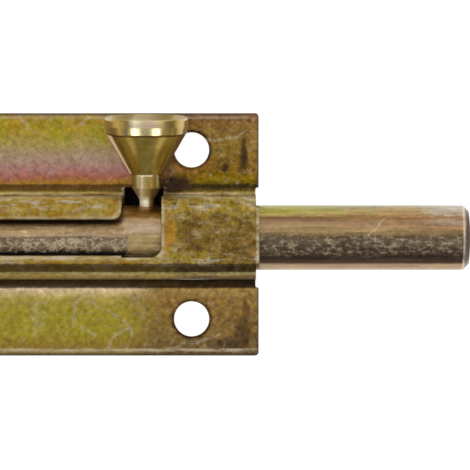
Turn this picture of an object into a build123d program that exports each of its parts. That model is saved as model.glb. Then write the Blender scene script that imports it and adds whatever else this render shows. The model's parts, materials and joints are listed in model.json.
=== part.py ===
from build123d import *
import os
from math import asin, atan2, degrees, hypot

# Sliding bolt, in millimetres. The origin is the middle of the plate's back face, +X runs along the rod to
# its free end, +Y is the side that the knob lies on, and +Z points away from the door.

# Housing: one pressed sheet, a flat plate with a raised channel along it
plate_length = 80.0
plate_width = 38.0
sheet = 1.2
plate_corner = 0.6
channel_shift = -0.5
crown_inner_bend = 0.65
crown_outer_bend = 2.4
foot_bend = 1.4
end_relief = 0.5
relief_width = 3.4
relief_corner = 0.35
edge_roll = 0.3

# Screw holes in the flanges
screw_hole_radius = 2.75
screw_hole_from_end = 10.5
screw_hole_from_edge = 5.75

# Slot along the crown, with a notch at each end that the knob's stem drops into
slot_from_end = 14.95
slot_width = 5.4
slot_corner = 1.7
notch_width = 6.0
notch_overrun = 0.3
notch_corner = 0.3
notch_short_of_fold = 0.2
strip_corner = 1.4
throw = 32.0

# Rod
rod_radius = 5.0
rod_reach = 32.3
rod_chamfer = 0.8
rod_side_clearance = 0.25
rod_back_clearance = 1.0

# Knob, turned in one piece: spigot, stub, taper, neck, cone and head, in order from the rod outwards
spigot_radius = 1.1
spigot_depth = 3.5
spigot_clearance = 0.02
stub_length = 0.9
stem_taper = 1.9
neck_radius = 2.25
neck_length = 2.1
cone_length = 6.25
cone_base_radius = 2.5
cone_top_radius = 6.15
ledge = 0.1
head_radius = 6.45
head_length = 2.6
head_bevel = 1.15
head_round = 0.55
stem_clearance = 0.15
head_clearance = 0.3

# What follows from those sizes
plate_front = plate_length / 2
channel_half = rod_radius + rod_side_clearance
channel_outer_half = channel_half + sheet
rod_axis_height = rod_back_clearance + rod_radius
channel_height = rod_axis_height + rod_radius + rod_side_clearance
crown_top = channel_height + sheet
crown_flat_half = channel_outer_half - crown_outer_bend
fold_half = channel_outer_half + foot_bend
slot_half = slot_width / 2
slot_front = plate_front - slot_from_end
slot_rear = slot_front - throw - notch_width
knob_x = slot_front - neck_radius - stem_clearance
rod_front = plate_front + rod_reach
rod_rear = throw - plate_front
spigot_floor = rod_radius - spigot_depth
taper_start = rod_radius + stub_length
neck_start = taper_start + stem_taper
neck_end = neck_start + neck_length
head_start = neck_end + cone_length
head_widest = head_start + head_bevel
head_top = head_start + head_length
cut_height = crown_top + sheet
tiny = 0.001


def knob_elevation():
    """Angle above the plate at which the lying knob's head just clears the flange."""
    drop = rod_axis_height - sheet - head_clearance
    return degrees(atan2(head_radius, head_widest) - asin(drop / hypot(head_widest, head_radius)))


def through_cut(outline):
    """A plan outline carried through the whole height of the housing."""
    return extrude(outline, cut_height, both=True)


def rounded_face(corners):
    """Closed outline through the corner points, each with its own radius."""
    points = [point for point, _ in corners]
    radii = [radius for _, radius in corners]
    return make_face(FilletPolyline(*points, radius=radii, close=True))


def folded_sheet():
    """Plate, walls and crown as one sheet with rolled long edges, thinner over the crown's corners."""
    left = channel_shift - channel_half
    right = channel_shift + channel_half
    corners = [
        ((-plate_width / 2, 0), 0),
        ((left, 0), foot_bend + sheet),
        ((left, channel_height), crown_inner_bend),
        ((right, channel_height), crown_inner_bend),
        ((right, 0), foot_bend + sheet),
        ((plate_width / 2, 0), 0),
        ((plate_width / 2, sheet), edge_roll),
        ((right + sheet, sheet), foot_bend),
        ((right + sheet, crown_top), crown_outer_bend),
        ((left - sheet, crown_top), crown_outer_bend),
        ((left - sheet, sheet), foot_bend),
        ((-plate_width / 2, sheet), edge_roll),
    ]
    return extrude(Plane.YZ.offset(-plate_front) * rounded_face(corners), plate_length)


def slot_outline():
    """Slot and its two notches, seen from above. Each notch's punch overruns the slot's far edge."""
    far = -slot_half - notch_overrun
    end = fold_half - notch_short_of_fold
    front_strip = slot_front - notch_width
    rear_strip = slot_rear + notch_width
    corners = [
        ((slot_front, far), slot_corner),
        ((slot_front, end), notch_corner),
        ((front_strip, end), notch_corner),
        ((front_strip, slot_half), strip_corner),
        ((rear_strip, slot_half), strip_corner),
        ((rear_strip, end), notch_corner),
        ((slot_rear, end), notch_corner),
        ((slot_rear, far), slot_corner),
        ((rear_strip, far), 0),
        ((rear_strip, -slot_half), 0),
        ((front_strip, -slot_half), 0),
        ((front_strip, far), 0),
    ]
    return Pos(0, channel_shift) * rounded_face(corners)


def screw_holes():
    hole_x = plate_front - screw_hole_from_end
    hole_y = plate_width / 2 - screw_hole_from_edge
    return Sketch() + GridLocations(2 * hole_x, 2 * hole_y, 2, 2) * Circle(screw_hole_radius)


def end_reliefs():
    """Recesses at both ends, where the bends draw the sheet back."""
    recess = RectangleRounded(2 * end_relief, relief_width, relief_corner)
    recesses = Sketch() + GridLocations(plate_length, 2 * fold_half - relief_width, 2, 2) * recess
    return Pos(0, channel_shift) * recesses


def slot_rim(pressed):
    """Upper edges of the slot and notches on the flat of the crown. They run on smoothly down the wall."""
    flat = crown_flat_half - tiny
    level = pressed.edges().filter_by_position(Axis.Z, crown_top - tiny, crown_top + tiny)
    across = level.filter_by_position(Axis.Y, channel_shift - flat, channel_shift + flat)
    return across.filter_by_position(Axis.X, slot_rear - tiny, slot_front + tiny)


def hole_rims(pressed):
    level = pressed.edges().filter_by_position(Axis.Z, sheet - tiny, sheet + tiny)
    circles = level.filter_by(GeomType.CIRCLE)
    return [edge for edge in circles if abs(edge.radius - screw_hole_radius) < tiny]


def housing_plate():
    """Folded sheet, pierced and trimmed, with a rolled slot edge and chamfered screw holes."""
    outline = through_cut(RectangleRounded(plate_length, plate_width, plate_corner))
    pressed = folded_sheet() & outline
    for cut in (slot_outline(), screw_holes(), end_reliefs()):
        pressed -= through_cut(cut)
    pressed = fillet(slot_rim(pressed), edge_roll)
    return chamfer(hole_rims(pressed), edge_roll)


def bolt_rod():
    """Round bar along X about its own axis, with a blind hole in its top for the knob's spigot."""
    from_base = (Align.CENTER, Align.CENTER, Align.MIN)
    bar = Plane.YZ.offset(rod_rear) * Cylinder(rod_radius, rod_front - rod_rear, align=from_base)
    bar = chamfer(bar.edges().filter_by(GeomType.CIRCLE), rod_chamfer)
    hole = Cylinder(spigot_radius + spigot_clearance, 2 * rod_radius, align=from_base)
    return bar - Pos(knob_x, 0, spigot_floor) * hole


def knob():
    """Turned knob standing up in +Z from the rod's axis, with its spigot on the floor of the rod's hole."""
    corners = [
        ((0, spigot_floor), 0),
        ((spigot_radius, spigot_floor), 0),
        ((spigot_radius, taper_start), 0),
        ((neck_radius, neck_start), 0),
        ((neck_radius, neck_end), 0),
        ((cone_base_radius, neck_end), 0),
        ((cone_top_radius, head_start), 0),
        ((cone_top_radius + ledge, head_start), 0),
        ((head_radius, head_widest), 0),
        ((head_radius, head_top), head_round),
        ((0, head_top), 0),
    ]
    return Pos(knob_x, 0, 0) * revolve(Plane.XZ * rounded_face(corners), Axis.Z)


def lying(upright):
    """Turn a piece from knob up to knob lying in its notch, and seat it in the channel."""
    return Pos(0, channel_shift, rod_axis_height) * Rot(X=knob_elevation() - 90) * upright


pieces = {
    "housing_plate": housing_plate(),
    "bolt_rod": lying(bolt_rod()),
    "knob": lying(knob()),
}

os.makedirs("parts", exist_ok=True)
for name, piece in pieces.items():
    export_step(piece, f"parts/{name}.step")
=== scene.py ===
import json
import math
import bpy
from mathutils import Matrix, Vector


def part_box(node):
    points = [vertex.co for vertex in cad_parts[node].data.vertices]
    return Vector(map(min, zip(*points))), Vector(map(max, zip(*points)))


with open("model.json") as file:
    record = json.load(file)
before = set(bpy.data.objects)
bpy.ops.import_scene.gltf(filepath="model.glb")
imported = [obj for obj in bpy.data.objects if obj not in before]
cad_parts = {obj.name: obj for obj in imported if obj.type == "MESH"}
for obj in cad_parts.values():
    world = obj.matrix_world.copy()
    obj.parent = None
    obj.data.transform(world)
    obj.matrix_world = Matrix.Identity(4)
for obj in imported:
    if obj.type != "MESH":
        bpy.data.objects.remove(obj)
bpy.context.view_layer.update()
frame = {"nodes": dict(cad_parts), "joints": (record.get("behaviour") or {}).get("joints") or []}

# Places on the part, in millimetres, in the part's own frame
METRE = 1000.0
rod_axis = Vector(frame["joints"][0]["pos_m"]) * METRE
knob_elevation = math.radians(6.34)
taper_start = 5.9
neck_start = 7.8
neck_end = 9.9
cone_middle = 13.0
cone_half = 2.9
head_start = 16.15
knob_length = 18.75
head_radius = 6.45
plate_half_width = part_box("housing_plate")[1].y * METRE
plate_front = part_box("housing_plate")[1].x * METRE
rod_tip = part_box("bolt_rod")[1].x * METRE
north_fold = 7.35
south_fold = -8.35
fold_blend = 0.5
wall_middle = 5.85
wall_outer = 6.35
wall_height = 6.3
wall_half_height = 2.6
slot_front = 25.05
notch_rear = 19.8
knob_left = 19.0
knob_right = 29.0

# Camera straight above the front half of the plate
view_width = 73.8
view_centre = Vector((36.3, -0.1))
view_distance = 400.0
sensor_width = 36.0

# Brightness of the surroundings
surroundings = 0.26


def srgb(red, green, blue):
    """Linear colour from everyday values of 0 to 255."""
    linear = []
    for value in (red, green, blue):
        share = value / 255
        linear.append(share / 12.92 if share <= 0.04045 else ((share + 0.055) / 1.055) ** 2.4)
    return (*linear, 1.0)


# Tint of the deeper-coloured places in the film
RICH = (0.98, 0.9, 0.5, 1.0)


class Graph:
    """Short forms for a material's nodes, with the place on the part in millimetres."""

    def __init__(self, name):
        self.material = bpy.data.materials.new(name)
        self.material.use_nodes = True
        self.tree = self.material.node_tree
        self.shader = self.tree.nodes["Principled BSDF"]
        place = self.node("ShaderNodeTexCoord").outputs["Object"]
        self.place = self.vector("MULTIPLY", place, (METRE, METRE, METRE))
        parts = self.node("ShaderNodeSeparateXYZ")
        self.put(parts.inputs[0], self.place)
        self.x, self.y, self.z = parts.outputs

    def put(self, socket, value):
        if isinstance(value, bpy.types.NodeSocket):
            self.tree.links.new(value, socket)
        else:
            socket.default_value = value

    def node(self, kind, **settings):
        made = self.tree.nodes.new(kind)
        for name, value in settings.items():
            setattr(made, name, value)
        return made

    def math(self, operation, *values, clamp=False):
        made = self.node("ShaderNodeMath", operation=operation, use_clamp=clamp)
        for socket, value in zip(made.inputs, values):
            self.put(socket, value)
        return made.outputs[0]

    def vector(self, operation, *values, output="Vector"):
        made = self.node("ShaderNodeVectorMath", operation=operation)
        for socket, value in zip(made.inputs, values):
            self.put(socket, value)
        return made.outputs[output]

    def dot(self, first, second):
        return self.vector("DOT_PRODUCT", first, second, output="Value")

    def scaled(self, direction, length):
        made = self.node("ShaderNodeVectorMath", operation="SCALE")
        self.put(made.inputs[0], direction)
        self.put(made.inputs["Scale"], length)
        return made.outputs[0]

    def span(self, value, low, high):
        """Smooth step from 0 at low to 1 at high, either way round."""
        made = self.node("ShaderNodeMapRange", interpolation_type="SMOOTHSTEP")
        self.put(made.inputs["Value"], value)
        made.inputs["From Min"].default_value = low
        made.inputs["From Max"].default_value = high
        return made.outputs["Result"]

    def band(self, value, centre, half, soft):
        """1 within half of the centre, fading to 0 over soft."""
        offset = self.math("ABSOLUTE", self.math("SUBTRACT", value, centre))
        return self.span(offset, half + soft, half)

    def both(self, *masks):
        made = masks[0]
        for mask in masks[1:]:
            made = self.math("MULTIPLY", made, mask)
        return made

    def most(self, masks):
        """The strongest of several masks."""
        made = masks[0]
        for mask in masks[1:]:
            made = self.math("MAXIMUM", made, mask)
        return made

    def swing(self, noise, amount):
        """A noise turned into an offset of up to about half the amount either way."""
        return self.math("MULTIPLY", self.math("SUBTRACT", noise, 0.5), amount)

    def noise(self, scale, detail=3.0, roughness=0.55, stretch=(1.0, 1.0, 1.0), shift=0.0, output=0):
        made = self.node("ShaderNodeTexNoise")
        place = self.vector("MULTIPLY_ADD", self.place, stretch, (shift, shift, shift))
        self.put(made.inputs["Vector"], place)
        made.inputs["Scale"].default_value = scale
        made.inputs["Detail"].default_value = detail
        made.inputs["Roughness"].default_value = roughness
        return made.outputs[output]

    def wobble(self, shift=0.0):
        """Offset of up to about half a millimetre that makes edges and lines uneven."""
        return self.vector("SUBTRACT", self.noise(0.9, detail=4.0, shift=shift, output=1), (0.5, 0.5, 0.5))

    def mix(self, factor, first, second, blend="MIX"):
        made = self.node("ShaderNodeMix", data_type="RGBA", blend_type=blend)
        self.put(made.inputs[0], factor)
        self.put(made.inputs[6], first)
        self.put(made.inputs[7], second)
        return made.outputs[2]

    def tint(self, colour, mask, strength, shade):
        """The colour taken towards an everyday shade where the mask is."""
        return self.mix(self.math("MULTIPLY", mask, strength), colour, srgb(*shade))

    def ramp(self, factor, stops):
        made = self.node("ShaderNodeValToRGB")
        elements = made.color_ramp.elements
        elements[0].position, elements[0].color = stops[0]
        elements[1].position, elements[1].color = stops[-1]
        for position, colour in stops[1:-1]:
            elements.new(position).color = colour
        self.put(made.inputs[0], factor)
        return made.outputs["Color"]

    def profile(self, value, low, high, stops):
        """Colours at places along a value from low to high."""
        share = self.math("DIVIDE", self.math("SUBTRACT", value, low), high - low)
        return self.ramp(share, [((place - low) / (high - low), srgb(*colour)) for place, colour in stops])

    def blot(self, centre, reach, wobble, soft=0.5):
        """Soft oval in plan, with an uneven edge."""
        place = self.vector("ADD", self.place, wobble)
        offset = self.vector("SUBTRACT", place, (*centre, 0.0))
        shares = self.vector("MULTIPLY", offset, (1 / reach[0], 1 / reach[1], 0.0))
        return self.span(self.vector("LENGTH", shares, output="Value"), 1 + soft, 1 - soft)

    def hairline(self, points, half_width, wobble):
        """Thin uneven line in plan through the points."""
        place = self.vector("MULTIPLY", self.vector("ADD", self.place, wobble), (1.0, 1.0, 0.0))
        nearest = 1e3
        for start, end in zip(points, points[1:]):
            run = Vector((*end, 0.0)) - Vector((*start, 0.0))
            offset = self.vector("SUBTRACT", place, (*start, 0.0))
            share = self.math("MULTIPLY", self.dot(offset, tuple(run)), 1 / run.length_squared, clamp=True)
            gap = self.vector("DISTANCE", offset, self.scaled(tuple(run), share), output="Value")
            nearest = self.math("MINIMUM", nearest, gap)
        return self.span(nearest, 2.0 * half_width, 0.0)

    def crackle(self, scale, width, wobble):
        """Network of fine lines, with the width in millimetres."""
        made = self.node("ShaderNodeTexVoronoi", feature="DISTANCE_TO_EDGE")
        bent = self.vector("MULTIPLY", wobble, (3.0, 3.0, 3.0))
        self.put(made.inputs["Vector"], self.vector("ADD", self.place, bent))
        made.inputs["Scale"].default_value = scale
        return self.span(made.outputs["Distance"], width * scale, 0.3 * width * scale)

    def finish(self, colour, roughness, metallic=1.0, height=None, depth=0.0):
        """Colour, roughness and a relief of the depth in millimetres on the shader."""
        self.put(self.shader.inputs["Base Color"], colour)
        self.put(self.shader.inputs["Roughness"], roughness)
        self.put(self.shader.inputs["Metallic"], metallic)
        if height is not None:
            bump = self.node("ShaderNodeBump")
            bump.inputs["Distance"].default_value = depth / METRE
            self.put(bump.inputs["Height"], height)
            self.put(self.shader.inputs["Normal"], bump.outputs[0])
        return self.material


def north_flange(g, drift, patches):
    """Film colours from fold to edge: red, mauve, olive and gold behind the knob, brown in front of it,
    darkest at the fold in front as painted shade.
    """
    share = g.math("DIVIDE", g.math("SUBTRACT", g.y, north_fold), plate_half_width - north_fold)
    share = g.math("ADD", share, g.math("ADD", g.swing(drift, 0.16), g.swing(patches, 0.14)))
    behind = g.ramp(share, [
        (0.0, srgb(148, 106, 36)),
        (0.07, srgb(156, 114, 40)),
        (0.11, srgb(160, 106, 64)),
        (0.15, srgb(158, 98, 80)),
        (0.24, srgb(164, 119, 111)),
        (0.42, srgb(162, 136, 112)),
        (0.58, srgb(158, 140, 80)),
        (0.76, srgb(160, 134, 42)),
        (0.92, srgb(160, 128, 46)),
        (1.0, srgb(146, 124, 84)),
    ])
    before = g.ramp(share, [
        # Darkest at the fold: painted shade
        (0.0, srgb(92, 78, 20)),
        (0.08, srgb(132, 106, 18)),
        (0.18, srgb(120, 90, 26)),
        (0.34, srgb(123, 94, 34)),
        (0.5, srgb(132, 105, 42)),
        (0.72, srgb(132, 104, 50)),
        (0.86, srgb(124, 90, 42)),
        (1.0, srgb(122, 88, 56)),
    ])
    green = g.both(g.span(g.noise(0.3, detail=2.0, shift=21.0), 0.46, 0.62), g.span(share, 0.5, 0.66))
    behind = g.tint(behind, green, 0.6, (146, 138, 32))
    place = g.math("ADD", g.x, g.swing(drift, 8.0))
    forward = g.math("ADD", g.span(place, knob_left, knob_right), g.span(place, -20.0, -30.0))
    return g.mix(forward, behind, before)


def south_flange(g, drift, patches):
    """Pale at the fold as painted light, olive green along the middle, brown round the front hole."""
    share = g.math("DIVIDE", g.math("SUBTRACT", south_fold, g.y), plate_half_width + south_fold)
    share = g.math("ADD", share, g.math("ADD", g.swing(drift, 0.12), g.swing(patches, 0.1)))
    olive = g.ramp(share, [
        # Pale start at the fold: painted light where the fold would be in shade
        (0.0, srgb(246, 216, 186)),
        (0.06, srgb(222, 196, 146)),
        (0.17, srgb(172, 154, 78)),
        (0.26, srgb(158, 142, 58)),
        (0.4, srgb(156, 142, 48)),
        (0.68, srgb(154, 140, 46)),
        (0.84, srgb(142, 118, 46)),
        (1.0, srgb(146, 124, 76)),
    ])
    brown = g.ramp(share, [
        (0.0, srgb(170, 140, 74)),
        (0.07, srgb(160, 130, 76)),
        (0.16, srgb(142, 109, 57)),
        (0.4, srgb(138, 107, 56)),
        (0.7, srgb(129, 102, 57)),
        (1.0, srgb(104, 84, 54)),
    ])
    place = g.math("ADD", g.x, g.swing(drift, 10.0))
    forward = g.math("ADD", g.span(place, 18.0, 27.0), g.span(place, -24.0, -34.0))
    return g.mix(forward, olive, brown)


def crown(g, drift, patches, wobble):
    """Mottled gold, brown and tan on the channel: brown in front of the slot, tan along its edges there."""
    share = g.math("ADD", patches, g.swing(drift, 0.2))
    gold = g.ramp(share, [
        (0.3, srgb(130, 102, 34)),
        (0.42, srgb(150, 114, 34)),
        (0.52, srgb(151, 125, 48)),
        (0.62, srgb(158, 136, 72)),
        (0.74, srgb(168, 152, 118)),
    ])
    brown = g.ramp(share, [
        (0.28, srgb(90, 68, 32)),
        (0.42, srgb(110, 86, 38)),
        (0.54, srgb(122, 97, 42)),
        (0.64, srgb(134, 106, 50)),
        (0.78, srgb(152, 130, 88)),
    ])
    tan = g.ramp(share, [
        (0.28, srgb(128, 100, 30)),
        (0.45, srgb(145, 119, 38)),
        (0.6, srgb(152, 130, 62)),
        (0.75, srgb(166, 149, 114)),
    ])
    north = g.span(g.math("ADD", g.y, g.swing(patches, 4.0)), 2.0, 3.6)
    beside_slot = g.span(g.math("ADD", g.x, g.swing(patches, 4.0)), slot_front + 3.4, slot_front + 1.6)
    south = g.blot((29.5, -3.6), (4.5, 0.9), wobble)
    brown = g.mix(g.most([north, beside_slot, south]), brown, tan)
    return g.mix(g.span(g.x, slot_front, slot_front + 1.0), gold, brown)


def wall_film(g, drift, patches):
    """Even gold and olive on the channel's upright sides."""
    return g.ramp(g.math("ADD", patches, g.swing(drift, 0.3)), [
        (0.3, srgb(150, 126, 56)),
        (0.5, srgb(170, 146, 82)),
        (0.7, srgb(184, 164, 116)),
    ])


# Lines along the slot's edges and hairline scratches on the flanges, as plan points
slot_edges = [
    [(25.2, 7.0), (25.2, -2.2), (23.6, -3.65), (-11.4, -3.65), (-13.1, -2.2), (-13.1, 7.0)],
    [(18.9, 7.0), (18.9, 3.5), (17.6, 2.35), (-5.5, 2.35), (-6.8, 3.5), (-6.8, 7.0)],
]
hairlines = [
    [(12.9, -9.2), (11.2, -10.8), (11.1, -13.8), (14.5, -15.8)],
    [(13.0, -10.2), (15.4, -11.5), (18.5, -13.0), (20.2, -15.0), (19.2, -18.4)],
    [(19.5, -9.0), (22.0, -11.6), (22.1, -13.2)],
    [(19.6, -14.7), (17.2, -15.9), (16.6, -17.8)],
    [(2.4, 18.6), (4.0, 16.6), (6.0, 15.6)],
    [(13.4, 18.4), (12.2, 17.2)],
    [(12.0, 12.8), (13.2, 10.9), (14.6, 11.0)],
    [(31.2, 15.2), (33.6, 14.6), (36.4, 15.2), (37.8, 16.2)],
    [(25.4, -18.1), (28.0, -17.2), (31.0, -16.7), (33.9, -15.7)],
]
# Dirty places on the flanges, the last one the knob's painted shadow on the fold beside the notch: centre
# and reach in plan, and strength
north_hole = (29.5, 13.25)
dirt_and_knob_shadow = [
    ((37.7, 12.3), (0.6, 2.7), 0.9),
    ((34.7, 10.4), (0.6, 0.6), 0.9),
    ((37.6, -15.6), (1.4, 2.6), 0.7),
    ((35.4, -17.2), (2.6, 0.8), 0.7),
    ((38.0, -12.5), (0.5, 2.2), 0.6),
    # Painted shadow of the knob on the north fold
    ((27.0, 8.0), (2.8, 1.2), 1.0),
]
# Lanes along the bends: painted shade lanes with middle, half width and strength, and painted highlight
# lanes with a colour too
shadows = [
    (7.3, 0.4, 0.7),
    (-5.1, 0.5, 0.72),
    (-6.65, 0.15, 0.3),
    (-7.68, 0.62, 0.86),
]
gleams = [
    (6.2, 0.2, 0.72, (214, 194, 138)),
    (5.7, 0.15, 0.5, (184, 162, 104)),
    (-6.0, 0.12, 0.7, (192, 176, 112)),
]


class Sheet:
    """Uneven patterns that the layers of the housing's finish share."""

    def __init__(self, g):
        self.drift = g.noise(0.11, detail=2.0, shift=3.0)
        self.patches = g.noise(0.55, detail=5.0, roughness=0.66)
        self.grain = g.noise(2.0, detail=5.0, roughness=0.75)
        self.film = g.noise(1.2, detail=4.0, roughness=0.65, shift=17.0)
        self.streaks = g.noise(0.9, detail=5.0, roughness=0.7, stretch=(0.3, 1.2, 1.0))
        self.wobble = g.wobble()


def sheet_film(g, sheet):
    """Film colours of crown and flanges, with paler and richer places."""
    colour = crown(g, sheet.drift, sheet.patches, sheet.wobble)
    north = g.span(g.y, north_fold - fold_blend, north_fold)
    colour = g.mix(north, colour, north_flange(g, sheet.drift, sheet.patches))
    south = g.span(g.y, south_fold + fold_blend, south_fold)
    colour = g.mix(south, colour, south_flange(g, sheet.drift, sheet.patches))
    colour = g.tint(colour, g.span(sheet.film, 0.54, 0.74), 0.5, (168, 154, 128))
    deeper = g.math("MULTIPLY", g.span(sheet.film, 0.46, 0.28), 0.7)
    return g.mix(deeper, colour, RICH, "MULTIPLY")


def crown_scuffs_and_sheen(g, sheet):
    """Rubbed streaks on the channel, most of them along the crown's corners, where they are painted
    highlights.
    """
    corners = g.math("MAXIMUM", g.band(g.y, 4.6, 0.4, 0.8), g.band(g.y, -3.9, 0.4, 0.8))
    share = g.math("MULTIPLY_ADD", corners, 0.8, 0.2)
    return g.both(g.span(sheet.streaks, 0.5, 0.62), share, g.band(g.y, rod_axis.y, 7.0, 0.4))


def bend_lanes(g, sheet, colour):
    """Painted shade lanes and painted highlight lanes along the bends, with their masks, and even film on
    the walls.
    """
    across = g.math("ADD", g.y, g.swing(sheet.patches, 0.3))
    from_middle = g.math("ABSOLUTE", g.math("SUBTRACT", g.y, rod_axis.y))
    upright = g.band(g.z, wall_height, wall_half_height, 1.1)
    wall = g.both(g.span(from_middle, wall_middle, wall_outer), upright)
    bends = g.math("SUBTRACT", 1.0, wall)
    painted_shade_lanes = []
    # Painted shade in the folds and along the curves of the bends
    for middle, half, strength in shadows:
        lane = g.both(g.band(across, middle, half, 0.3), bends)
        colour = g.tint(colour, lane, strength, (40, 27, 24))
        painted_shade_lanes.append(lane)
    colour = g.mix(wall, colour, wall_film(g, sheet.drift, sheet.patches))
    gleam_breakup = g.span(sheet.streaks, 0.3, 0.58)
    painted_gleams = []
    # Painted highlights along the bends, made less metallic so they stay pale
    for middle, half, strength, shade in gleams:
        lane = g.both(g.band(across, middle, half, 0.25), gleam_breakup, strength, bends)
        colour = g.mix(lane, colour, srgb(*shade))
        painted_gleams.append(lane)
    return colour, g.most(painted_shade_lanes), g.most(painted_gleams)


def stains(g, sheet, colour):
    """Dirt on the flanges and the knob's painted shadow beside the notch, amber, copper, heated and chalky
    places, and dark rims round the screw holes.
    """
    film = sheet.film
    wobble = sheet.wobble
    # Dirt, and the knob's painted shadow, in one dark colour
    dirt_and_shadow = g.most([g.both(g.blot(centre, reach, wobble), share) for centre, reach, share in dirt_and_knob_shadow])
    colour = g.mix(g.both(dirt_and_shadow, g.span(sheet.grain, 0.15, 0.5)), colour, srgb(58, 42, 32))
    amber = g.both(g.blot((26.0, 0.2), (1.0, 2.6), wobble), g.span(g.x, slot_front, slot_front + 0.6))
    colour = g.tint(colour, amber, 0.45, (176, 116, 48))
    coppery = g.both(g.band(g.x, plate_front - 0.9, 0.3, 0.5), g.span(g.y, 8.5, 9.5), g.span(film, 0.4, 0.6))
    colour = g.tint(colour, coppery, 0.4, (172, 130, 96))
    in_plan = g.vector("MULTIPLY", g.place, (1.0, 1.0, 0.0))
    from_hole = g.vector("DISTANCE", in_plan, (*north_hole, 0.0), output="Value")
    under_hole = g.span(g.y, north_hole[1] - 0.5, north_hole[1] - 2.0)
    heated = g.both(g.band(from_hole, 3.0, 0.3, 0.8), under_hole, g.span(film, 0.36, 0.6))
    colour = g.tint(colour, heated, 0.5, (176, 108, 54))
    chalky = g.both(g.blot((5.4, -13.0), (1.2, 2.4), wobble), g.span(film, 0.36, 0.6))
    colour = g.tint(colour, chalky, 0.45, (172, 164, 118))
    same_corner = g.vector("ABSOLUTE", in_plan)
    from_holes = g.vector("DISTANCE", same_corner, (*north_hole, 0.0), output="Value")
    rims = g.both(g.band(from_holes, 3.05, 0.1, 0.25), g.span(film, 0.36, 0.56))
    return g.tint(colour, rims, 0.75, (66, 46, 36))


def scratches(g, sheet, painted_shade_lanes):
    """Hairlines and fine veins, with none in the painted shade lanes."""
    veins = g.both(g.crackle(0.22, 0.14, sheet.wobble), g.span(sheet.patches, 0.5, 0.62), 0.4)
    lines = g.most([g.hairline(points, 0.2, sheet.wobble) for points in hairlines])
    lines = g.both(lines, g.span(sheet.patches, 0.32, 0.56))
    return g.both(g.math("MAXIMUM", lines, veins), g.math("SUBTRACT", 1.0, painted_shade_lanes))


def edge_wear_and_shading(g, sheet, colour):
    """Edges rubbed pale and given painted highlights, and painted shade on the rolled sides and the cut
    front.
    """
    slot_rims = g.most([g.hairline(points, 0.3, (0.0, 0.0, 0.0)) for points in slot_edges])
    slot_corner = g.blot((24.75, -3.1), (0.8, 0.7), sheet.wobble)
    mouth = g.both(g.span(g.x, plate_front - 0.6, plate_front - 0.35), g.band(g.y, rod_axis.y, 6.0, 0.5))
    south_edge = g.band(g.y, 0.9 - plate_half_width, 0.1, 0.25)
    north_edge = g.math("MULTIPLY", g.band(g.y, plate_half_width - 0.7, 0.1, 0.25), 0.4)
    # Pale edges: partly wear, partly painted highlight on the rounded edges
    worn_and_lit_edges = g.most([slot_rims, slot_corner, mouth, south_edge, north_edge])
    worn_and_lit_edges = g.both(worn_and_lit_edges, g.span(sheet.streaks, 0.34, 0.58))
    colour = g.tint(colour, worn_and_lit_edges, 0.7, (190, 175, 146))
    # Painted shade on the plate's rolled sides and its front cut face
    sides = g.span(g.math("ABSOLUTE", g.y), plate_half_width - 0.55, plate_half_width - 0.25)
    front = g.both(g.span(g.x, plate_front - 0.35, plate_front - 0.15), g.span(g.z, 1.9, 1.4))
    return g.tint(colour, g.math("MAXIMUM", sides, front), 0.75, (84, 70, 58))


def housing_chromate():
    """Yellow-chromated sheet: film colours, scuffs with painted highlights along the crown's corners,
    scratches, painted shade and painted highlights along the bends, dirt with the knob's painted shadow, and
    worn edges with painted highlights and shade.
    """
    g = Graph("yellow_chromate_sheet")
    sheet = Sheet(g)
    scuffs_and_sheen = crown_scuffs_and_sheen(g, sheet)
    colour = g.tint(sheet_film(g, sheet), scuffs_and_sheen, 0.75, (178, 168, 148))
    colour, painted_shade_lanes, painted_gleams = bend_lanes(g, sheet, colour)
    colour = stains(g, sheet, colour)
    marks = scratches(g, sheet, painted_shade_lanes)
    colour = g.tint(colour, marks, 0.45, (186, 172, 142))
    coarse = g.math("MULTIPLY_ADD", g.span(g.x, knob_left, knob_right), 0.7, 1.0)
    cloud = g.math("ADD", g.swing(sheet.grain, 1.1), g.swing(g.noise(1.1, detail=3.0, shift=9.0), 0.9))
    colour = g.scaled(colour, g.math("MULTIPLY_ADD", cloud, coarse, 0.85))
    colour = edge_wear_and_shading(g, sheet, colour)
    uneven = g.math("ADD", g.swing(sheet.patches, 0.16), g.math("MULTIPLY", scuffs_and_sheen, 0.12))
    matt = g.math("MAXIMUM", painted_gleams, g.math("MULTIPLY", marks, 0.5))
    metallic = g.math("SUBTRACT", 1.0, g.math("MULTIPLY", matt, 0.9))
    return g.finish(colour, g.math("ADD", 0.33, uneven), metallic, height=sheet.grain, depth=0.012)


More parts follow.
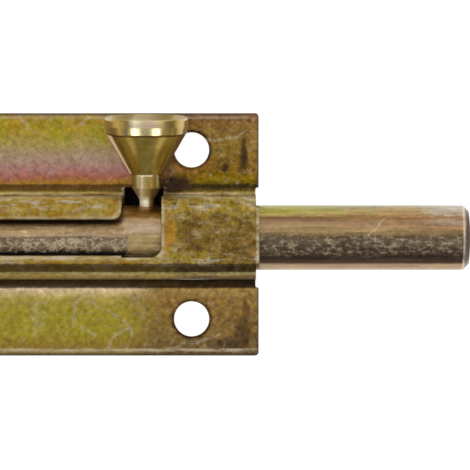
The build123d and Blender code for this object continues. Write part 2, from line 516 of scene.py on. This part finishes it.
# Rod colours by degrees round from the top, towards the knob's side: film colours with painted reflections,
# dark where the rod would mirror the dim surroundings and pale low down where it would mirror the floor, and
# in the slot a painted shadow under its south edge. Free end, slot and notch differ.
free_colours = [
    (-180, (150, 128, 64)),
    (-95, (168, 142, 96)),
    (-56, (156, 130, 98)),
    (-50, (64, 46, 36)),
    (-36, (84, 67, 54)),
    (-20, (86, 71, 57)),
    (-8, (112, 95, 78)),
    (2, (82, 66, 47)),
    (6, (112, 94, 62)),
    (11, (142, 120, 82)),
    (21, (153, 127, 93)),
    (29, (149, 121, 88)),
    (38, (122, 92, 56)),
    (47, (154, 132, 84)),
    (62, (152, 142, 90)),
    (80, (158, 150, 116)),
    (100, (120, 112, 60)),
    (180, (150, 128, 64)),
]
slot_colours = [
    (-180, (150, 128, 64)),
    (-60, (150, 128, 94)),
    # Painted shadow in the gap under the slot's south edge
    (-30, (12, 8, 6)),
    (-25, (16, 10, 8)),
    (-21, (96, 76, 58)),
    (-17, (126, 105, 80)),
    (-13, (134, 113, 88)),
    (-7, (146, 128, 106)),
    (-1, (108, 86, 60)),
    (3, (150, 126, 99)),
    (6, (160, 136, 104)),
    (10, (146, 122, 87)),
    (15, (134, 110, 76)),
    (20, (166, 140, 106)),
    (26, (178, 151, 114)),
    (40, (150, 120, 90)),
    (60, (150, 128, 80)),
    (180, (150, 128, 64)),
]
notch_colours = [
    (-180, (150, 128, 64)),
    (-40, (120, 98, 60)),
    (-28, (120, 98, 58)),
    (-20, (150, 126, 74)),
    (-12, (164, 139, 82)),
    (-3, (152, 132, 78)),
    (3, (156, 130, 84)),
    (10, (144, 127, 97)),
    (19, (156, 138, 114)),
    (26, (158, 133, 106)),
    (34, (168, 137, 90)),
    (45, (156, 122, 72)),
    (70, (150, 120, 66)),
    (180, (150, 128, 64)),
]
# Long scratch across the rod's free end, as plan points
rod_scratch = [(56.6, -0.2), (57.5, 0.6), (58.2, 1.4), (59.3, 2.4)]


class Bar:
    """Uneven patterns and places that the layers of the rod's finish share."""

    def __init__(self, g):
        self.streaks = g.noise(0.8, detail=5.0, roughness=0.66, stretch=(0.14, 1.0, 1.0))
        self.patches = g.noise(0.5, detail=3.0, stretch=(0.5, 1.0, 1.0), shift=5.0)
        self.grain = g.noise(1.6, detail=5.0, roughness=0.75, stretch=(0.7, 1.0, 1.0))
        self.wobble = g.wobble(shift=7.0)
        across = g.math("SUBTRACT", g.y, rod_axis.y)
        above = g.math("SUBTRACT", g.z, rod_axis.z)
        angle = g.math("DEGREES", g.math("ARCTAN2", across, above))
        ragged = g.math("ADD", g.swing(self.streaks, 10.0), g.swing(self.grain, 6.0))
        self.turned = g.math("ADD", angle, ragged)
        along = g.math("ADD", g.x, g.swing(self.grain, 3.0))
        self.in_slot = g.span(along, slot_front + 0.3, slot_front - 0.3)
        self.in_notch = g.both(self.in_slot, g.span(along, notch_rear - 0.4, notch_rear + 0.4))

    def colours(self, g, stops):
        return g.profile(self.turned, -180, 180, stops)


def free_end(g, bar, flecks):
    """Rod outside the housing: olive, then rosy, with a flecked strip and bare metal at the tip."""
    turned = bar.turned
    colour = bar.colours(g, free_colours)
    forward = g.math("ADD", g.x, g.swing(bar.patches, 40.0))
    rosy = g.both(g.span(forward, 50.0, 62.0), g.band(turned, 42.0, 28.0, 8.0))
    colour = g.tint(colour, rosy, 0.3, (176, 128, 92))
    olive = g.both(g.span(forward, 56.0, 44.0), g.span(turned, 42.0, 52.0))
    colour = g.tint(colour, olive, 0.65, (152, 148, 44))
    colour = g.tint(colour, flecks, 0.7, (168, 152, 122))
    to_tip = g.math("ADD", g.x, g.swing(bar.grain, 8.0))
    bare = g.both(g.span(to_tip, rod_tip - 9.0, rod_tip - 3.0), g.span(bar.streaks, 0.36, 0.52))
    faint = g.math("MULTIPLY", g.band(turned, 29.0, 5.0, 4.0), 0.5)
    bare = g.both(bare, g.math("MAXIMUM", g.span(turned, 39.0, 46.0), faint))
    return g.tint(colour, bare, 0.65, (182, 178, 168))


def seen_in_slot(g, bar, colour):
    """Rod in the slot: a crumpled, chalky strip beside a streaked tan side, and smears in the notch."""
    turned = bar.turned
    behind = g.math("SUBTRACT", bar.in_slot, bar.in_notch)
    # Painted reflection bands in the slot and notch
    colour = g.mix(bar.in_slot, colour, bar.colours(g, slot_colours))
    colour = g.mix(bar.in_notch, colour, bar.colours(g, notch_colours))
    crumpled = g.noise(1.15, detail=5.0, roughness=0.75, stretch=(0.6, 1.0, 1.0), shift=31.0)
    strip = g.both(g.band(g.math("ADD", turned, g.swing(crumpled, 14.0)), -13.5, 9.5, 5.0), behind)
    gaps = g.both(g.span(crumpled, 0.56, 0.42), strip)
    colour = g.tint(colour, gaps, 0.8, (100, 79, 46))
    creases = g.crackle(0.55, 0.18, bar.wobble)
    chalk = g.both(g.math("MAXIMUM", g.span(crumpled, 0.56, 0.68), creases), strip)
    colour = g.tint(colour, chalk, 0.75, (188, 171, 138))
    smeared = g.both(g.span(crumpled, 0.5, 0.62), bar.in_notch)
    colour = g.tint(colour, smeared, 0.7, (178, 162, 134))
    wisps = g.noise(1.5, detail=4.0, roughness=0.7, stretch=(0.35, 1.0, 1.0), shift=41.0)
    tan_side = g.both(g.span(turned, 2.0, 8.0), behind)
    colour = g.tint(colour, g.both(g.span(wisps, 0.5, 0.66), tan_side), 0.55, (186, 166, 134))
    return g.tint(colour, g.both(g.span(wisps, 0.48, 0.34), tan_side), 0.6, (116, 88, 50))


def tip_marks_and_shade(g, bar, colour):
    """A long scratch, a pale line at the edge of the tip, its chamfer darkened as painted shade, and a sawn
    end face.
    """
    scratch = g.both(g.hairline(rod_scratch, 0.1, bar.wobble), g.span(bar.grain, 0.34, 0.54))
    colour = g.tint(colour, scratch, 0.5, (196, 178, 146))
    colour = g.tint(colour, g.band(g.x, rod_tip - 0.95, 0.06, 0.16), 0.65, (206, 196, 182))
    # Painted shade on the chamfer at the tip
    colour = g.mix(g.span(g.x, rod_tip - 0.75, rod_tip - 0.45), colour, srgb(84, 68, 56))
    from_axis = g.vector("MULTIPLY", g.vector("SUBTRACT", g.place, tuple(rod_axis)), (0.0, 1.0, 1.0))
    end_face = g.span(g.vector("LENGTH", from_axis, output="Value"), 4.2, 4.05)
    sawn = g.scaled(srgb(168, 152, 116)[:3], g.math("ADD", 0.95, g.swing(bar.grain, 0.7)))
    return g.mix(end_face, colour, sawn)


def rod_chromate():
    """Drawn bar with lengthwise streaks, painted reflection bands round it with a dark painted band and real
    flecks along its top, and a bare tip.
    """
    g = Graph("yellow_chromate_bar")
    bar = Bar(g)
    strip = g.band(bar.turned, -14.0, 11.0, 14.0)
    flecks = g.both(g.span(bar.grain, 0.46, 0.68), strip, g.span(bar.patches, 0.2, 0.42))
    colour = seen_in_slot(g, bar, free_end(g, bar, flecks))
    lines = g.noise(2.4, detail=3.0, stretch=(0.05, 1.0, 1.0), shift=13.0)
    uneven = g.math("ADD", g.swing(bar.grain, 1.1), g.swing(lines, 1.2))
    uneven = g.math("ADD", g.swing(bar.streaks, 1.0), uneven)
    colour = tip_marks_and_shade(g, bar, g.scaled(colour, g.math("ADD", 0.96, uneven)))
    dull_strip = g.both(bar.in_slot, g.band(bar.turned, -20.0, 18.0, 8.0))
    matt = g.math("MAXIMUM", g.math("MULTIPLY", flecks, 0.8), dull_strip)
    rough = g.math("ADD", g.swing(bar.streaks, 0.14), g.math("MULTIPLY", matt, 0.25))
    metallic = g.math("SUBTRACT", 1.0, g.math("MULTIPLY", matt, 0.9))
    return g.finish(colour, g.math("ADD", 0.3, rough), metallic, height=bar.grain, depth=0.015)


# Painted sheen and reflections on the turned brass by millimetres along X from the knob's axis: end face,
# head's side and stem
face_sheen = [
    (-6.45, (214, 196, 162)),
    (-5.4, (210, 192, 158)),
    (-4.5, (178, 156, 104)),
    (-3.1, (154, 136, 82)),
    (-2.3, (166, 148, 98)),
    (-1.6, (200, 182, 138)),
    (-0.6, (192, 172, 126)),
    (0.4, (190, 170, 124)),
    (1.5, (168, 148, 100)),
    (3.0, (148, 128, 76)),
    (3.8, (158, 138, 88)),
    (4.5, (196, 176, 132)),
    (6.45, (204, 186, 150)),
]
head_sheen = [
    (-6.45, (204, 180, 122)),
    (-5.5, (190, 162, 100)),
    (-4.4, (160, 130, 62)),
    (-3.2, (142, 122, 74)),
    (-2.5, (160, 140, 92)),
    (-1.6, (222, 210, 180)),
    (0.0, (186, 166, 134)),
    (1.45, (192, 172, 142)),
    (3.0, (206, 178, 110)),
    (4.4, (138, 112, 52)),
    (5.3, (192, 166, 106)),
    (6.45, (216, 194, 142)),
]
stem_sheen = [
    (-2.3, (182, 156, 98)),
    (-1.9, (180, 154, 96)),
    (-1.6, (146, 124, 76)),
    (-1.25, (158, 137, 90)),
    (-0.7, (218, 198, 156)),
    (-0.35, (180, 160, 108)),
    (0.1, (164, 140, 82)),
    (0.57, (154, 128, 68)),
    (0.9, (184, 150, 74)),
    (1.2, (188, 156, 80)),
    (1.5, (156, 132, 76)),
    (2.3, (130, 106, 60)),
]


class Turning:
    """Places on the knob: height along its axis, offset to the side, and that offset as a share."""

    def __init__(self, g):
        offset = g.vector("SUBTRACT", g.place, tuple(rod_axis))
        axis = (0.0, math.cos(knob_elevation), math.sin(knob_elevation))
        self.height = g.dot(offset, axis)
        self.sideways = g.dot(offset, (1.0, 0.0, 0.0))
        radial = g.vector("SUBTRACT", offset, g.scaled(axis, self.height))
        self.side = g.math("DIVIDE", self.sideways, g.vector("LENGTH", radial, output="Value"))

    def sheen(self, g, stops):
        return g.profile(self.sideways, -head_radius, head_radius, stops)

    def rings(self, g):
        """Fine grooves round the axis."""
        made = g.node("ShaderNodeTexNoise", noise_dimensions="1D")
        g.put(made.inputs["W"], self.height)
        made.inputs["Scale"].default_value = 5.0
        made.inputs["Detail"].default_value = 3.0
        return made.outputs[0]


def brass_film(g, knob, tarnish):
    """Tarnished brass, with painted sheen on stem and head, a painted highlight on the bevel and painted
    shade in the crease under the head.
    """
    colour = g.ramp(tarnish, [
        (0.3, srgb(152, 126, 50)),
        (0.55, srgb(170, 146, 72)),
        (0.75, srgb(188, 166, 104)),
    ])
    stem = g.span(knob.height, neck_end + 0.05, neck_end - 0.05)
    colour = g.mix(stem, colour, knob.sheen(g, stem_sheen))
    head = g.span(knob.height, head_start + 0.06, head_start + 0.12)
    colour = g.mix(head, colour, knob.sheen(g, head_sheen))
    # Painted highlight on the bevel under the head's side
    bevel = g.both(g.band(knob.height, head_start + 0.62, 0.48, 0.1), g.band(knob.sideways, 0.1, 2.3, 0.7))
    colour = g.tint(colour, bevel, 0.7, (244, 220, 160))
    # Painted shade in the crease under the head
    return g.tint(colour, g.band(knob.height, head_start - 0.1, 0.1, 0.12), 0.8, (84, 62, 26))


def stem_lights(g, knob, colour, taper):
    """Painted highlight on a collar under the cone, painted shade on one side of the taper and a painted
    highlight at its root.
    """
    collar = g.both(g.band(knob.height, neck_end - 0.1, 0.08, 0.12), g.band(knob.sideways, 0.0, 0.9, 0.5))
    colour = g.tint(colour, collar, 0.8, (252, 238, 206))
    colour = g.tint(colour, g.both(taper, g.span(knob.sideways, 0.4, 1.0)), 0.8, (96, 70, 36))
    root = g.span(knob.height, taper_start + 0.9, taper_start)
    root = g.both(root, g.band(knob.sideways, -0.4, 0.6, 0.4))
    return g.tint(colour, root, 0.9, (255, 242, 212))


def knob_brass():
    """Turned brass with fine rings round its axis, painted sheen on the head and stem, a painted highlight
    and painted shade on the cone's two sides, and painted reflection bands on a dull end face.
    """
    g = Graph("turned_brass")
    knob = Turning(g)
    tarnish = g.noise(0.4, detail=4.0, roughness=0.6)
    colour = brass_film(g, knob, tarnish)
    cone = g.band(knob.height, cone_middle, cone_half, 0.2)
    # Painted highlight on the cone's left side and painted shade on its right
    painted_limb_highlight = g.both(g.span(knob.side, -0.82, -0.92), cone)
    colour = g.mix(painted_limb_highlight, colour, srgb(255, 222, 180))
    painted_limb_shade = g.both(g.span(knob.side, 0.74, 0.9), cone)
    colour = g.tint(colour, painted_limb_shade, 0.85, (112, 84, 46))
    taper = g.span(knob.height, neck_start + 0.3, neck_start - 0.3)
    colour = stem_lights(g, knob, colour, taper)
    face = g.span(knob.height, knob_length - 0.35, knob_length - 0.1)
    colour = g.mix(face, colour, knob.sheen(g, face_sheen))
    matt = g.most([face, painted_limb_highlight, painted_limb_shade, g.math("MULTIPLY", taper, 0.7)])
    rough = g.math("ADD", g.swing(tarnish, 0.12), g.math("MULTIPLY", matt, 0.4))
    metallic = g.math("SUBTRACT", 0.82, g.math("MULTIPLY", matt, 0.74))
    g.put(g.shader.inputs["Specular IOR Level"], 0.0)
    return g.finish(colour, g.math("ADD", 0.2, rough), metallic, height=knob.rings(g), depth=0.012)


def dress(node, material):
    """Give a CAD piece its finish."""
    for slot in frame["nodes"][node].material_slots:
        slot.material = material


def area_lamp(name, centre, aim, width, height, radiance):
    """Soft box of even brightness that faces a point. Lengths in metres."""
    lamp = bpy.data.lights.new(name, "AREA")
    lamp.shape = "RECTANGLE"
    lamp.size = width
    lamp.size_y = height
    lamp.energy = radiance * math.pi * width * height
    box = bpy.data.objects.new(name, lamp)
    box.location = centre
    box.rotation_euler = (Vector(aim) - Vector(centre)).to_track_quat("-Z", "Y").to_euler()
    box.visible_camera = False
    bpy.context.scene.collection.objects.link(box)


def floor_disc():
    """Round floor just under the plate's back face, with a low wall round it. Lengths in metres."""
    reach = 3.0
    level = -0.00005
    wall_top = 0.4
    sides = 64
    turns = [2 * math.pi * side / sides for side in range(sides)]
    rim = [(reach * math.cos(turn), reach * math.sin(turn)) for turn in turns]
    corners = [(x, y, level) for x, y in rim] + [(x, y, wall_top) for x, y in rim]
    faces = [tuple(range(sides))]
    for side in range(sides):
        after = (side + 1) % sides
        faces.append((side, after, sides + after, sides + side))
    mesh = bpy.data.meshes.new("floor")
    mesh.from_pydata(corners, [], faces)
    floor = bpy.data.objects.new("floor", mesh)
    bpy.context.scene.collection.objects.link(floor)
    return floor


def floor_white():
    """White to the eye, with a painted shadow where the channel encloses it."""
    glow = 0.86
    g = Graph("floor_white")
    path = g.node("ShaderNodeLightPath").outputs
    seen = g.most([path["Is Camera Ray"], path["Is Glossy Ray"], path["Is Transmission Ray"]])
    # Painted shadow on the floor under the channel
    channel_shadow = g.both(g.band(g.x, 0.0, plate_front - 0.9, 0.3), g.band(g.y, rod_axis.y, 8.6, 0.5))
    g.put(g.shader.inputs["Base Color"], g.mix(channel_shadow, srgb(170, 170, 170), srgb(24, 20, 18)))
    g.put(g.shader.inputs["Roughness"], 1.0)
    g.put(g.shader.inputs["Specular IOR Level"], 0.0)
    g.put(g.shader.inputs["Emission Color"], srgb(255, 255, 255))
    g.put(g.shader.inputs["Emission Strength"], g.both(seen, g.math("SUBTRACT", 1.0, channel_shadow), glow))
    return g.material


def set_camera():
    """Camera that looks straight down."""
    data = bpy.data.cameras.new("camera")
    data.sensor_width = sensor_width
    data.lens = sensor_width * view_distance / view_width
    camera = bpy.data.objects.new("camera", data)
    camera.location = Vector((view_centre.x, view_centre.y, view_distance)) / METRE
    bpy.context.scene.collection.objects.link(camera)
    bpy.context.scene.camera = camera


def set_world():
    """Even grey surroundings."""
    world = bpy.data.worlds.new("studio")
    world.use_nodes = True
    background = world.node_tree.nodes["Background"]
    background.inputs["Color"].default_value = (*3 * [surroundings], 1.0)
    bpy.context.scene.world = world


# Soft boxes: name, centre, aim, width, height and brightness. Lengths in metres
soft_boxes = [
    ("overhead", (0.0, 0.45, 0.8), (0.0, 0.45, 0.0), 2.0, 1.2, 1.0),
    ("north", (0.0, 1.1, 0.42), (0.0, 0.0, 0.42), 4.0, 0.76, 0.8),
    ("west", (-1.1, 0.0, 0.35), (0.0, 0.0, 0.2), 1.0, 0.6, 1.0),
    ("south", (0.02, -0.75, 0.6), (0.02, 0.0, 0.0), 1.0, 0.42, 0.5),
    ("lamp_left", (-0.25, -0.29, 0.445), (0.02, 0.0, 0.0), 0.24, 0.16, 3.5),
    ("lamp_right", (0.29, -0.29, 0.445), (0.02, 0.0, 0.0), 0.24, 0.16, 3.5),
    ("corner_left", (-0.95, -1.0, 0.3), (0.0, 0.0, 0.3), 0.9, 0.54, 0.3),
    ("corner_right", (0.95, -1.0, 0.3), (0.0, 0.0, 0.3), 0.9, 0.54, 0.5),
]

dress("housing_plate", housing_chromate())
dress("bolt_rod", rod_chromate())
dress("knob", knob_brass())
set_world()
floor = floor_disc()
floor.data.materials.append(floor_white())
for soft_box in soft_boxes:
    area_lamp(*soft_box)
set_camera()
bpy.context.scene.view_settings.view_transform = "Standard"
